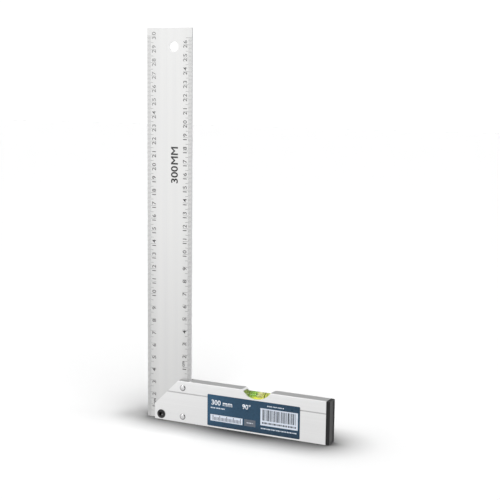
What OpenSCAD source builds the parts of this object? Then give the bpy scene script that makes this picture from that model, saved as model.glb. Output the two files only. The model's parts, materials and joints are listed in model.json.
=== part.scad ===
// Carpenter square: a graduated blade held upright in the slotted end of a hollow stock with a spirit level.
// X runs along the stock, Y from front to back, Z up. The origin is the middle of the footprint, on the base.
// Inside the modules, x is measured from the blade's outer edge, and at_origin() shifts each piece to the origin.

/* [Blade] */
// Length of the blade from its foot to its free end
blade_l = 306; // [220:2:500]
// Width of the blade between its two measuring edges
blade_w = 39; // [37:0.5:50]
// Thickness of the blade
blade_t = 1.5; // [1:0.1:2.2]
// Diameter of the hang hole
hang_d = 8; // [5:0.5:12]
// Distance of the hang hole's centre from the outer edge
hang_inset = 23.2; // [12:0.1:26]
// Distance of the hang hole's centre below the free end
hang_drop = 14; // [10:0.5:30]

/* [Stock] */
// Length of the stock with its end cap
stock_l = 149; // [140:1:260]
// Height of the stock from the base to the inner measuring face
stock_h = 33.5; // [32:0.5:40]
// Thickness of the stock from front face to back face
stock_t = 10; // [9:0.5:12]
// Thickness of the stock's outer walls
wall_t = 1.3; // [1.1:0.1:1.6]
// Thickness of the web under the vial channel
vial_web_t = 2; // [1.5:0.1:2.5]
// Thickness of the web across the lower chamber
low_web_t = 1.3; // [0.8:0.1:2]
// Radius of the stock's long outer edges
edge_r = 0.5; // [0.2:0.1:0.9]
// Radius of the corners inside the chambers
chamber_r = 0.4; // [0.2:0.1:0.6]
// Width of the fine groove along each face
groove_w = 1; // [0.6:0.1:1.4]
// Depth of the fine groove along each face
groove_d = 0.5; // [0.3:0.1:0.8]
// Distance by which the blade stands out past the stock's mitred end
overhang = 9; // [4:0.5:12]
// Height and length of the 45 degree mitre
mitre = 21; // [12:0.5:22]
// Clearance between the blade and each side of its slot
slot_clear = 0.05; // [0.02:0.01:0.15]

/* [Sight notch and vial] */
// Distance of the middle of the notch from the stock's mitred end
notch_inset = 88.5; // [76:0.5:100]
// Radius of the cutter that mills the notch
notch_r = 15; // [13:0.5:20]
// Depth of the notch below the inner measuring face
notch_d = 6.3; // [4.5:0.1:7]
// Length of the vial tube
vial_l = 27; // [24:0.5:36]
// Clearance round the vial tube in its channel
vial_clear = 0.1; // [0.05:0.05:0.2]
// Wall of the vial tube at the middle of its barrel bore
vial_wall = 0.7; // [0.5:0.05:0.9]
// Amount by which the bore's radius shrinks from its middle to its ends
bore_taper = 0.2; // [0.1:0.05:0.4]
// Thickness of the tube's closed end
vial_end = 2; // [1:0.1:3]
// Length of the plug in the tube's filling end
vial_plug_l = 2; // [1:0.1:3]
// Clearance round the plug
vial_plug_clear = 0.02; // [0.01:0.01:0.05]
// Distance between the two marker rings, middle to middle
ring_gap = 13; // [9:0.5:16]
// Width of a marker ring
ring_w = 0.7; // [0.4:0.1:1]
// Depth of a marker ring in the tube's surface
ring_d = 0.15; // [0.1:0.05:0.2]
// Length of the bubble
bubble_l = 6.6; // [5:0.2:8]
// Diameter of the bubble
bubble_d = 4; // [3:0.1:4.4]
// Distance of the bubble's middle from the vial's middle
bubble_off = 1.5; // [-2:0.1:2]

/* [Rivets] */
// Diameter of a rivet's shank
rivet_d = 3; // [2.5:0.1:4]
// Clearance round a rivet's shank
rivet_clear = 0.05; // [0.02:0.01:0.1]
// Diameter of a rivet's domed head
rivet_head_d = 4.7; // [4.6:0.1:6]
// Height of a rivet's domed head
rivet_head_h = 0.9; // [0.6:0.1:1.4]
// Distance of the rivets from the blade's inner edge
rivet_inset = 4.8; // [4:0.1:6]
// Height of the lower rivet above the base
rivet_rise = 4.8; // [4.2:0.1:6.5]
// Distance of the upper rivet below the inner measuring face
rivet_drop = 5.4; // [4.2:0.1:6.5]

/* [Clamp screw and sleeve nut] */
// Distance of the screw from the stock's mitred end
screw_inset = 5.8; // [5:0.1:7]
// Height of the screw above the base
screw_rise = 4.5; // [4.4:0.1:6]
// Diameter of the screw's shank
screw_d = 4; // [3:0.5:4]
// Clearance round the screw's shank
screw_clear = 0.05; // [0.02:0.01:0.1]
// Diameter of the screw's button head
screw_head_d = 7.1; // [6.5:0.1:8.6]
// Height of the screw's button head
screw_head_h = 2; // [1.8:0.1:2.6]
// Width across the flats of the hexagon socket
socket_af = 2.5; // [2:0.5:3]
// Depth of the hexagon socket
socket_d = 1.3; // [0.8:0.1:1.5]
// Outer diameter of the nut's sleeve
sleeve_d = 5.5; // [5:0.1:6]
// Clearance round the nut's sleeve
sleeve_clear = 0.1; // [0.05:0.05:0.2]
// Diameter of the nut's flange
flange_d = 8; // [7:0.1:8.6]
// Height of the nut's flange
flange_h = 1.2; // [0.8:0.1:1.6]

/* [End cap] */
// Thickness of the cap's outer plate
cap_t = 3; // [2:0.1:4]
// Radius of the cap's outer corners
cap_r = 0.9; // [0.5:0.1:1.5]
// Width of the rim round the sunk panel
rim_w = 1.1; // [0.8:0.1:1.6]
// Depth of the sunk panel
panel_d = 0.5; // [0.3:0.1:0.8]
// Length of the plugs that go into the stock's chambers
plug_l = 9; // [5:0.5:12]
// Wall of the hollow plugs
plug_wall = 1.1; // [0.8:0.1:1.3]
// Clearance round the plugs
plug_clear = 0.05; // [0.02:0.01:0.15]

/* [Label] */
// Length of the label
label_l = 78; // [60:1:80]
// Height of the label
label_h = 25; // [18:0.5:25.5]
// Thickness of the label
label_t = 0.15; // [0.1:0.01:0.3]
// Radius of the label's corners
label_r = 0.8; // [0.4:0.1:2]
// Distance of the label from the stock's mitred end
label_inset = 47.2; // [44:0.1:50]
// Height of the label's lower edge above the base
label_rise = 1.3; // [0.6:0.1:1.6]

/* [Hidden] */
$fn = 64;
// Overshoot of a cut past the face that it opens
cut = 1;

// Places along the stock, from the blade's outer edge
stock_x = overhang;
overall_l = overhang + stock_l;
cap_x = overall_l - cap_t;
bar_l = cap_x - stock_x;
notch_x = stock_x + notch_inset;
rivet_x = blade_w - rivet_inset;
screw_x = stock_x + screw_inset;
label_x = stock_x + label_inset;
slot_end_x = blade_w + slot_clear;

// Faces of the stock, where the outside is counted from the blade's middle plane
face = stock_t / 2;
slot_w = blade_t + 2 * slot_clear;

// The upper chamber is as high as it is wide, so that it holds the round vial
chamber_w = stock_t - 2 * wall_t;
vial_d = chamber_w - 2 * vial_clear;
vial_web_top = stock_h - wall_t - chamber_w;
vial_web_bottom = vial_web_top - vial_web_t;
low_web_z = (wall_t + vial_web_bottom) / 2;
low_web_top = low_web_z + low_web_t / 2;
low_web_bottom = low_web_z - low_web_t / 2;
groove_z = vial_web_top - vial_web_t / 2;
// Each chamber is [bottom, top]
chambers = [
    [wall_t, low_web_bottom],
    [low_web_top, vial_web_bottom],
    [vial_web_top, stock_h - wall_t]
];

// The vial, from its closed end at x = 0 in its own length
vial_z = stock_h - wall_t - chamber_w / 2;
vial_x = notch_x - vial_l / 2;
bore_r = vial_d / 2 - vial_wall;
bore_end_r = bore_r - bore_taper;
bore_x = vial_end;
bore_l = vial_l - vial_end - vial_plug_l;
bore_mid = bore_x + bore_l / 2;
plug_x = bore_x + bore_l;
ring_r = vial_d / 2 - ring_d;
// The bubble is pressed against the top of the bore, so it stands a little past the fluid's surface
bubble_lift = 0.2;
bubble_z = bore_r - bubble_d / 2 + bubble_lift;

rivet_hole_d = rivet_d + 2 * rivet_clear;
screw_hole_d = screw_d + 2 * screw_clear;
sleeve_hole_d = sleeve_d + 2 * sleeve_clear;
// The sleeve ends just short of the front wall's inside, and the screw short of the nut's driver slot
sleeve_l = stock_t - wall_t - sleeve_clear;
screw_tip = 0.6;
// The driver slot across the nut's flange
driver_w = 1;
driver_d = 0.6;
// The low straight band at the foot of a button head or a domed head
head_band = 0.35;
dome_band = 0.15;

// Puts a piece, drawn from the blade's outer edge, in the part's own frame
module at_origin() {
    translate([-overall_l / 2, 0, 0]) children();
}

// Rectangle with round corners, centred on x and standing on y = 0
module rounded_bar(w, h, r) {
    translate([-w / 2 + r, 0]) square([w - 2 * r, h]);
    translate([-w / 2, r]) square([w, h - 2 * r]);
    for (x = [-w / 2 + r, w / 2 - r], y = [r, h - r]) translate([x, y]) circle(r);
}

// Extrudes a section in the YZ plane along +X
module along_x(length) {
    rotate([90, 0, 90]) linear_extrude(length) children();
}

// Extrudes an outline in the XZ plane towards the front, from y = back
module towards_front(back, depth) {
    translate([0, back, 0]) rotate([90, 0, 0]) linear_extrude(depth) children();
}

// Turns a piece made along +Z so that it points to the front, at a place on the stock
module fastener_at(x, z) {
    translate([x, 0, z]) rotate([90, 0, 0]) children();
}

// Turns a piece made along +Z so that it points along +X
module point_x() {
    rotate([0, 90, 0]) children();
}

// Round hole through the whole thickness
module cross_hole(x, z, d) {
    fastener_at(x, z) translate([0, 0, -face - cut]) cylinder(d = d, h = stock_t + 2 * cut);
}

// Head with a straight band at its foot under a spherical dome, from z = 0 up
module domed_head(d, h, band) {
    rise = h - band;
    ball = (pow(d / 2, 2) + pow(rise, 2)) / (2 * rise);
    intersection() {
        cylinder(d = d, h = h);
        translate([0, 0, h - ball]) sphere(ball, $fn = 96);
    }
}

// Blade

module blade() {
    color("#d9dadb") at_origin() difference() {
        translate([0, -blade_t / 2, 0]) cube([blade_w, blade_t, blade_l]);
        cross_hole(hang_inset, blade_l - hang_drop, hang_d);
        cross_hole(rivet_x, rivet_rise, rivet_hole_d);
        cross_hole(rivet_x, stock_h - rivet_drop, rivet_hole_d);
        cross_hole(screw_x, screw_rise, sleeve_hole_d);
    }
}

// Stock

module stock_section() {
    difference() {
        rounded_bar(stock_t, stock_h, edge_r);
        for (c = chambers) translate([0, c[0]]) rounded_bar(chamber_w, c[1] - c[0], chamber_r);
        for (side = [-1, 1]) translate([side * face, groove_z]) groove_cutter();
    }
}

// V groove, with its mouth a little outside the face so that it cuts clean
module groove_cutter() {
    polygon([[-groove_d, 0], [0, -groove_w / 2], [groove_d, 0], [0, groove_w / 2]]);
}

// Prism above the 45 degree line of the mitre
module mitre_cutter() {
    low = stock_h - mitre - cut;
    towards_front(face + cut, stock_t + 2 * cut)
        polygon([[stock_x - cut, low], [stock_x + mitre + cut, stock_h + cut], [stock_x - cut, stock_h + cut]]);
}

// Saw cut that the blade stands in, open at the mitred end and right through the height
module blade_slot() {
    translate([stock_x - cut, -slot_w / 2, -cut])
        cube([slot_end_x - stock_x + cut, slot_w, stock_h + 2 * cut]);
}

module sight_notch() {
    fastener_at(notch_x, stock_h - notch_d + notch_r)
        translate([0, 0, -face - cut]) cylinder(r = notch_r, h = stock_t + 2 * cut, $fn = 128);
}

module stock() {
    color("#e4e5e6") at_origin() difference() {
        translate([stock_x, 0, 0]) along_x(bar_l) stock_section();
        mitre_cutter();
        blade_slot();
        sight_notch();
        cross_hole(rivet_x, rivet_rise, rivet_hole_d);
        cross_hole(rivet_x, stock_h - rivet_drop, rivet_hole_d);
        fastener_at(screw_x, screw_rise) {
            cylinder(d = screw_hole_d, h = face + cut);
            translate([0, 0, -face - cut]) cylinder(d = sleeve_hole_d, h = sleeve_l + cut + sleeve_clear);
        }
    }
}

// End cap

module cap_plug(c) {
    w = chamber_w - 2 * plug_clear;
    h = c[1] - c[0] - 2 * plug_clear;
    translate([-plug_l, 0, c[0] + plug_clear]) along_x(plug_l) difference() {
        rounded_bar(w, h, chamber_r);
        translate([0, plug_wall]) rounded_bar(w - 2 * plug_wall, h - 2 * plug_wall, chamber_r);
    }
}

module end_cap() {
    color("#2f3032") at_origin() translate([cap_x, 0, 0]) {
        difference() {
            along_x(cap_t) rounded_bar(stock_t, stock_h, cap_r);
            translate([cap_t - panel_d, 0, rim_w])
                along_x(panel_d + cut) rounded_bar(stock_t - 2 * rim_w, stock_h - 2 * rim_w, chamber_r);
        }
        for (c = chambers) cap_plug(c);
    }
}

// Rivets

module rivet() {
    translate([0, 0, -face]) cylinder(d = rivet_d, h = stock_t);
    translate([0, 0, face]) domed_head(rivet_head_d, rivet_head_h, dome_band);
    translate([0, 0, -face]) mirror([0, 0, 1]) domed_head(rivet_head_d, rivet_head_h, dome_band);
}

module upper_rivet() {
    color("#c4c6c8") at_origin() fastener_at(rivet_x, stock_h - rivet_drop) rivet();
}

module lower_rivet() {
    color("#c4c6c8") at_origin() fastener_at(rivet_x, rivet_rise) rivet();
}

// Clamp screw and sleeve nut

module clamp_screw() {
    color("#1b1b1d") at_origin() fastener_at(screw_x, screw_rise) difference() {
        union() {
            translate([0, 0, -face + screw_tip]) cylinder(d = screw_d, h = stock_t - screw_tip);
            translate([0, 0, face]) domed_head(screw_head_d, screw_head_h, head_band);
        }
        translate([0, 0, face + screw_head_h - socket_d])
            cylinder(d = socket_af / cos(30), h = socket_d + cut, $fn = 6);
    }
}

module sleeve_nut() {
    color("#232325") at_origin() fastener_at(screw_x, screw_rise) difference() {
        union() {
            translate([0, 0, -face]) cylinder(d = sleeve_d, h = sleeve_l);
            translate([0, 0, -face]) mirror([0, 0, 1]) domed_head(flange_d, flange_h, head_band);
        }
        translate([0, 0, -face]) cylinder(d = screw_hole_d, h = sleeve_l + cut);
        translate([-flange_d / 2 - cut, -driver_w / 2, -face - flange_h - cut])
            cube([flange_d + 2 * cut, driver_w, driver_d + cut]);
    }
}

// Vial

// Puts a piece, drawn from the vial's closed end along +Z, in its channel
module vial_at() {
    at_origin() translate([vial_x, 0, vial_z]) point_x() children();
}

// Barrel bore, widest in the middle so that the bubble finds its place
module barrel_bore() {
    translate([0, 0, bore_x]) cylinder(r1 = bore_end_r, r2 = bore_r, h = bore_l / 2);
    translate([0, 0, bore_mid]) cylinder(r1 = bore_r, r2 = bore_end_r, h = bore_l / 2);
}

module ring_band(inner_r, outer_r, x) {
    translate([0, 0, x - ring_w / 2]) difference() {
        cylinder(r = outer_r, h = ring_w);
        translate([0, 0, -cut]) cylinder(r = inner_r, h = ring_w + 2 * cut);
    }
}

module vial_tube() {
    color("#dfe8d0", 0.5) vial_at() difference() {
        cylinder(d = vial_d, h = vial_l);
        barrel_bore();
        translate([0, 0, plug_x]) cylinder(r = bore_end_r, h = vial_plug_l + cut);
        for (side = [-1, 1]) ring_band(ring_r, vial_d / 2 + cut, vial_l / 2 + side * ring_gap / 2);
    }
}

module vial_plug() {
    color("#dfe8d0") vial_at()
        translate([0, 0, plug_x]) cylinder(r = bore_end_r - vial_plug_clear, h = vial_plug_l);
}

module bubble() {
    run = bubble_l - bubble_d;
    translate([-bubble_z, 0, bore_mid + bubble_off]) {
        translate([0, 0, -run / 2]) cylinder(d = bubble_d, h = run);
        for (side = [-1, 1]) translate([0, 0, side * run / 2]) sphere(d = bubble_d);
    }
}

module vial_fluid() {
    color("#c3de3c") vial_at() difference() {
        barrel_bore();
        bubble();
    }
}

module left_ring() {
    color("#20241a") vial_at() ring_band(ring_r, vial_d / 2, vial_l / 2 - ring_gap / 2);
}

module right_ring() {
    color("#20241a") vial_at() ring_band(ring_r, vial_d / 2, vial_l / 2 + ring_gap / 2);
}

// Label

module label() {
    color("#2f4f6b") at_origin() towards_front(-face, label_t)
        translate([label_x + label_l / 2, label_rise]) rounded_bar(label_l, label_h, label_r);
}

blade();
stock();
end_cap();
upper_rivet();
lower_rivet();
clamp_screw();
sleeve_nut();
vial_tube();
vial_plug();
vial_fluid();
left_ring();
right_ring();
label();
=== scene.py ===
# %% [markdown]
# # The looks of a carpenter square
# The square comes into Blender as a fixed frame: every part is already modelled at its real size, in
# metres, and stands in its place. This script gives each part the finish of the real one, adds the
# graduations and the label's print, and sets up the small photo studio that the square is seen in. Nothing
# of the frame is moved or resized.
# %% Load the square
import json
import math
from contextlib import contextmanager

import bmesh
import bpy
from mathutils import Matrix, Vector


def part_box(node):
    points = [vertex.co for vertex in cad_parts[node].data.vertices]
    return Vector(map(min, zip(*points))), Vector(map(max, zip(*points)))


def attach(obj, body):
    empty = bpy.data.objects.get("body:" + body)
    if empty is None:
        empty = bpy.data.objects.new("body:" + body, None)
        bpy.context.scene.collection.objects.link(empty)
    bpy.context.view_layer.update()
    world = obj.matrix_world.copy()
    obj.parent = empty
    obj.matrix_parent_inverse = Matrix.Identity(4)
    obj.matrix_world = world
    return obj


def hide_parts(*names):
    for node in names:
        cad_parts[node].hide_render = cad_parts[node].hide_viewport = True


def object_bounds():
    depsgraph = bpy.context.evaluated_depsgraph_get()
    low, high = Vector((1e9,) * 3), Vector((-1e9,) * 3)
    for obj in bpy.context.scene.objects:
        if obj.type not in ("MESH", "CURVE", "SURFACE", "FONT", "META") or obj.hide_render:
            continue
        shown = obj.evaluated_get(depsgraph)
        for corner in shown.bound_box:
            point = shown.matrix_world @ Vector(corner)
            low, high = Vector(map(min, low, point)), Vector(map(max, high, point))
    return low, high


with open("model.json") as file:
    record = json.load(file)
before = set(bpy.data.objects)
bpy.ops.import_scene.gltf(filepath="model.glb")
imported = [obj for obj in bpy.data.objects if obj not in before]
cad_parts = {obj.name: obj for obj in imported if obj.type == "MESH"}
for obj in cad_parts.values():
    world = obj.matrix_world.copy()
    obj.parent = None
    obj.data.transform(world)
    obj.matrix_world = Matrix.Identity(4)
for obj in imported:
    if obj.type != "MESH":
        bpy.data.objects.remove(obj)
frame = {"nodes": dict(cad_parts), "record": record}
cad_low, cad_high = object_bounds()
print("parts:", ", ".join(sorted(frame["nodes"])))
print("size in mm:", [round(1000 * side, 1) for side in cad_high - cad_low])

# %% [markdown]
# ## Small helpers
# Sizes below are written in millimetres, because that is how a workshop speaks, and MM turns them to
# metres. Colours are written as sRGB hex, as a paint program shows them, but shaders work in linear light,
# so one function turns them. Operators in Blender act on whatever is selected, so `only` first clears the
# selection and then picks one object.
# %% Units, colours and selection
MM = 0.001


def srgb(code):
    """Turns an sRGB hex colour into the linear colour with alpha that a colour socket takes."""
    channels = [int(code[i : i + 2], 16) / 255 for i in (1, 3, 5)]
    linear = [c / 12.92 if c <= 0.04045 else ((c + 0.055) / 1.055) ** 2.4 for c in channels]
    return (*linear, 1.0)


def only(piece):
    """Deselects everything, then selects one object and makes it the active one."""
    bpy.ops.object.select_all(action="DESELECT")
    piece.select_set(True)
    bpy.context.view_layer.objects.active = piece
    return piece


print("one millimetre is", MM, "m, and mid grey is", round(srgb("#808080")[0], 3), "in linear light")

# %% [markdown]
# A finish in Blender is a tree of shader nodes, whose inputs are either set or linked to another node's
# output. One function adds every node here. A place on an object is read in metres from its Object
# coordinates, and most changes from place to place are smooth.
# %% Shader nodes
def feed(node, inputs):
    """Gives inputs of a node a value each, or the node or the output that they are linked to."""
    for socket, source in inputs.items():
        if isinstance(source, bpy.types.Node):
            source = source.outputs[0]
        if isinstance(source, bpy.types.NodeSocket):
            node.id_data.links.new(source, node.inputs[socket])
        else:
            node.inputs[socket].default_value = source


def add_node(tree, kind, inputs=None, **settings):
    """Adds one shader node with its settings, and feeds its inputs."""
    node = tree.nodes.new(kind)
    for name, value in settings.items():
        setattr(node, name, value)
    feed(node, inputs or {})
    return node


def place_along(tree, axis):
    """Where the shaded point is along one axis of its object, in metres."""
    place = add_node(tree, "ShaderNodeTexCoord").outputs["Object"]
    return add_node(tree, "ShaderNodeSeparateXYZ", {0: place}).outputs[axis]


def fade(tree, value, start, end, low, high):
    """A smooth change from low to high while a value, or the place along an axis, goes from start to end."""
    if isinstance(value, str):
        value = place_along(tree, value)
    inputs = {0: value, 1: start, 2: end, 3: low, 4: high}
    return add_node(tree, "ShaderNodeMapRange", inputs, interpolation_type="SMOOTHSTEP")


print("node helpers ready")

# %% [markdown]
# ## Camera
# The photograph was taken from a little above the stock and from the right, through a long lens, so that
# the upright blade stays nearly parallel. The place and the angles come from the object's own scale: with
# a blade that is graduated in centimetres, every number on it is a known point. A camera in Blender looks
# down its own -Z, so it is first tipped up from the floor, then turned about the vertical.
# %% Set up the camera
CAMERA_PLACE = Vector((0.3643, -0.7448, 0.2623))
CAMERA_YAW = 25.45
CAMERA_PITCH = -8.37
CAMERA_ROLL = 0.67
CAMERA_LENS = 79.72
SENSOR_WIDTH = 36

turned = Matrix.Rotation(math.radians(CAMERA_YAW), 4, "Z")
tipped = Matrix.Rotation(math.radians(90 + CAMERA_PITCH), 4, "X")
rolled = Matrix.Rotation(math.radians(CAMERA_ROLL), 4, "Z")
bpy.ops.object.camera_add()
camera = bpy.context.object
camera.name = "camera"
camera.matrix_world = Matrix.Translation(CAMERA_PLACE) @ turned @ tipped @ rolled
camera.data.sensor_width = SENSOR_WIDTH
camera.data.lens = CAMERA_LENS
camera.data.clip_start = 10 * MM
bpy.context.scene.camera = camera
print("camera", round((CAMERA_PLACE - (cad_low + cad_high) / 2).length / MM), "mm from the square's middle")

# %% [markdown]
# ## Studio
# Metal shows its surroundings more than its own colour, so the surroundings are designed first. In a
# product studio a white sweep and a large front light fill most of what polished metal mirrors. Behind the
# object, to the left, the backdrop ends, a band of dim room follows, and above it hangs a broad white
# silk. To the right a white wall stands for all of these. The dark opening round the lens leaves a small
# dark dot in every dome. The world below paints those zones by direction, for mirrored rays only, at levels
# that were matched to the photograph.
# %% What metal mirrors
PLAIN_WHITE = 1.0
MIRRORED_FRONT = 1.15
MIRRORED_SILK = 1.0
MIRRORED_ROOM = 0.1
MIRRORED_LENS = 0.05
# Where each zone begins and ends, as the cosine of the angle to up, right, back or the lens
BACKDROP_END = (0.06, 0.16)
SILK_END = (0.45, 0.62)
WALL_END = (0.0, 0.3)
FRONT_END = (-0.35, 0.25)
LENS_END = (0.93, 0.975)

world = bpy.data.worlds.new("studio")
world.use_nodes = True
bpy.context.scene.world = world
sky = world.node_tree
sky.nodes.clear()
direction = add_node(sky, "ShaderNodeTexCoord").outputs["Generated"]
compass = add_node(sky, "ShaderNodeSeparateXYZ", {0: direction}).outputs
up, back, right = compass["Z"], compass["Y"], compass["X"]
past_backdrop = fade(sky, up, *BACKDROP_END, PLAIN_WHITE, MIRRORED_ROOM)
rear_left = fade(sky, up, *SILK_END, past_backdrop, MIRRORED_SILK)
rear = fade(sky, right, *WALL_END, rear_left, MIRRORED_SILK)
all_round = fade(sky, back, *FRONT_END, MIRRORED_FRONT, rear)
towards_lens = {0: direction, 1: CAMERA_PLACE.normalized()}
beside_lens = add_node(sky, "ShaderNodeVectorMath", towards_lens, operation="DOT_PRODUCT").outputs["Value"]
mirrored = fade(sky, beside_lens, *LENS_END, all_round, MIRRORED_LENS)
print("mirrored levels: front", MIRRORED_FRONT, "room", MIRRORED_ROOM, "silk", MIRRORED_SILK)

# %% [markdown]
# Matt surfaces get a soft light of their own from the world, strongest low down, where it reaches upright
# faces. Glass sees plain white, and the camera a little more than white, so that no line shows where the
# floor ends. Light Path tells the world which kind of ray asks.
# %% What matt surfaces, glass and the camera get
HORIZON_LIGHT = 0.95
SOFT_LIGHT_TOP = 0.6
SEEN_WHITE = 1.06

rays = add_node(sky, "ShaderNodeLightPath").outputs
strength = fade(sky, up, 0.0, SOFT_LIGHT_TOP, HORIZON_LIGHT, 0.0)
for ray, level in (
    ("Is Glossy Ray", mirrored),
    ("Is Transmission Ray", PLAIN_WHITE),
    ("Is Camera Ray", SEEN_WHITE),
):
    strength = add_node(sky, "ShaderNodeMix", {0: rays[ray], 2: strength, 3: level})
backdrop = add_node(sky, "ShaderNodeBackground", {0: srgb("#ffffff"), 1: strength})
add_node(sky, "ShaderNodeOutputWorld", {0: backdrop})
print("soft light", HORIZON_LIGHT, "at the horizon, none overhead")

# %% [markdown]
# The main light is the broad silk overhead, tipped to the front and to the right. A Sun with a wide angle
# stands for it, since it lights the whole floor alike, and its width blurs the tall blade's shadow away. A
# smaller lamp at the front left gives the domes and the screw's edge their white glint. The strength of
# both is what they add to a white sheet.
# %% Hang the lamps
SILK_PLACE = Vector((0.58, -0.42, 0.757))
SILK_ANGLE = 70
SILK_LIGHT = 0.9
GLINT_PLACE = Vector((-0.55, -0.75, 0.75))
GLINT_AIM = Vector((0, 0, 0.02))
GLINT_SIZE = 0.28
GLINT_LIGHT = 0.06

bpy.ops.object.light_add(type="SUN", rotation=SILK_PLACE.to_track_quat("Z", "Y").to_euler())
silk = bpy.context.object
silk.name = "overhead_silk"
silk.data.angle = math.radians(SILK_ANGLE)
silk.data.energy = math.pi * SILK_LIGHT / SILK_PLACE.normalized().z
silk.visible_glossy = False

bpy.ops.object.light_add(type="AREA", location=GLINT_PLACE)
glint = bpy.context.object
glint.name = "glint_lamp"
glint.data.size = GLINT_SIZE
reach = GLINT_AIM - GLINT_PLACE
glint.rotation_euler = reach.to_track_quat("-Z", "Y").to_euler()
glint.data.energy = GLINT_LIGHT * math.pi**2 * reach.length_squared
print("lamps:", silk.name, "and", glint.name)

# %% [markdown]
# The floor is a sheet of matt white paper, wide and flat, since the world is already white behind it. The
# camera sees it as white as paper can be, so that only the shadow shows. Light from low all round reaches
# everything but the last few centimetres by the foot, where an Ambient Occlusion node deepens the shade.
# Three soft strokes of grey do the rest, as a retoucher grounds a product on white: a wide one, a narrow one
# and a faint halo. They are painted by the distance from the line that the square stands on, and are deeper
# before the dark label than before bright metal, which throws light on the paper, most of all in the corner
# between the steel and the heel of the stock. Where they end, and how wide and deep they are, was first
# fitted to the floor's tones in the photograph and then adjusted. The lamps don't cast this part of the
# shadow, so it stays where it is if the square is moved.
# %% Paint the paper
SHADE_REACH = 36 * MM
SHADE_DEPTH = 2.0
BRUSH_START, BRUSH_END = cad_low.x - 11.5 * MM, cad_low.x + 150.6 * MM
BRUSH_Y = -1.7 * MM
# Of each stroke: depth, width, softness, share at the heel, share at the cap, and where it grows to the full
BRUSH_STROKES = (
    (0.56, 23 * MM, 1.35, 0.38, 0.9, (40 * MM, 81 * MM)),
    (0.62, 13 * MM, 2.0, 0.36, 0.5, (25 * MM, 95 * MM)),
    (0.05, 62 * MM, 3.0, 1.0, 1.0, (25 * MM, 95 * MM)),
)
PAST_LABEL = (103 * MM, 121 * MM)
CORNER = (cad_low.x + 6.5 * MM, -0.8 * MM, 0)
CORNER_REACH = (1.0 * MM, 5.5 * MM)
THROWN_LIGHT = 2.0
SHEET_SPAN = (0.06, 4.0)
SHEET_GLOW = (0.85, 1.24)


def painted_shadow(tree, place):
    """How bright the paper is at a place, from nothing for black to one for white."""
    shade = add_node(tree, "ShaderNodeAmbientOcclusion", {"Distance": SHADE_REACH}, samples=16).outputs["AO"]
    bright = add_node(tree, "ShaderNodeMath", {0: shade, 1: SHADE_DEPTH}, operation="POWER")
    foot_x = add_node(tree, "ShaderNodeClamp", {0: place_along(tree, "X"), 1: BRUSH_START, 2: BRUSH_END})
    foot = add_node(tree, "ShaderNodeCombineXYZ", {0: foot_x, 1: BRUSH_Y})
    from_foot = add_node(tree, "ShaderNodeVectorMath", {0: place, 1: foot}, operation="DISTANCE")
    for depth, width, softness, at_heel, at_cap, grows in BRUSH_STROKES:
        full = fade(tree, "X", cad_low.x + grows[0], cad_low.x + grows[1], at_heel, 1.0)
        share = fade(tree, "X", cad_low.x + PAST_LABEL[0], cad_low.x + PAST_LABEL[1], full, at_cap)
        ink = add_node(tree, "ShaderNodeMath", {0: from_foot.outputs["Value"], 1: width}, operation="DIVIDE")
        ink = add_node(tree, "ShaderNodeMath", {0: ink, 1: softness}, operation="POWER")
        ink = add_node(tree, "ShaderNodeMath", {0: 1 / math.e, 1: ink}, operation="POWER")
        ink = add_node(tree, "ShaderNodeMath", {0: ink, 1: depth}, operation="MULTIPLY")
        ink = add_node(tree, "ShaderNodeMath", {0: ink, 1: share}, operation="MULTIPLY")
        kept = add_node(tree, "ShaderNodeMath", {0: 1.0, 1: ink}, operation="SUBTRACT")
        bright = add_node(tree, "ShaderNodeMath", {0: bright, 1: kept}, operation="MULTIPLY")
    # Painted light: the paper is lighter in the corner between the steel and the heel, as metal throws light
    # there
    from_corner = add_node(tree, "ShaderNodeVectorMath", {0: place, 1: CORNER}, operation="DISTANCE")
    thrown = fade(tree, from_corner.outputs["Value"], *CORNER_REACH, THROWN_LIGHT, 1.0)
    return add_node(tree, "ShaderNodeMath", {0: bright, 1: thrown}, operation="MULTIPLY")


print("strokes of grey:", len(BRUSH_STROKES))

# %% [markdown]
# Light Path also tells the paper which kind of ray asks. The camera gets the painted sheet, and glass
# plain white. Metal mirrors an even sheet that grows brighter with distance, as under a silk wider than
# the table, and matt surfaces get a normal pale grey.
# %% Lay the floor
FLOOR_SIZE = 12.0


def white_paper():
    """Paper that looks different to the camera, to metal, to glass and to matt surfaces."""
    paper = bpy.data.materials.new("white_paper")
    paper.use_nodes = True
    tree = paper.node_tree
    tree.nodes.clear()
    place = add_node(tree, "ShaderNodeTexCoord").outputs["Object"]
    seen_sheet = add_node(tree, "ShaderNodeBsdfDiffuse", {0: painted_shadow(tree, place)})
    away = add_node(tree, "ShaderNodeVectorMath", {0: place}, operation="LENGTH").outputs["Value"]
    order = add_node(tree, "ShaderNodeMath", {0: away, 1: math.e}, operation="LOGARITHM")
    near, far = [math.log(reach) for reach in SHEET_SPAN]
    inputs = {0: order, 1: near, 2: far, 3: SHEET_GLOW[0], 4: SHEET_GLOW[1]}
    sheen = add_node(tree, "ShaderNodeMapRange", inputs)
    mirrored_sheet = add_node(tree, "ShaderNodeEmission", {1: sheen})
    clear_sheet = add_node(tree, "ShaderNodeEmission", {1: PLAIN_WHITE})
    rays = add_node(tree, "ShaderNodeLightPath").outputs
    sheet = add_node(tree, "ShaderNodeBsdfDiffuse", {0: srgb("#f0f0f0")})
    for ray, other in (
        ("Is Glossy Ray", mirrored_sheet),
        ("Is Transmission Ray", clear_sheet),
        ("Is Camera Ray", seen_sheet),
    ):
        sheet = add_node(tree, "ShaderNodeMixShader", {0: rays[ray], 1: sheet, 2: other})
    add_node(tree, "ShaderNodeOutputMaterial", {0: sheet})
    return paper


bpy.ops.mesh.primitive_plane_add(size=FLOOR_SIZE, location=(0, 0, 0))
floor = bpy.context.object
floor.name = "floor"
floor.data.materials.append(white_paper())
print("floor", FLOOR_SIZE, "m wide, at the height of the square's base")

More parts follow.
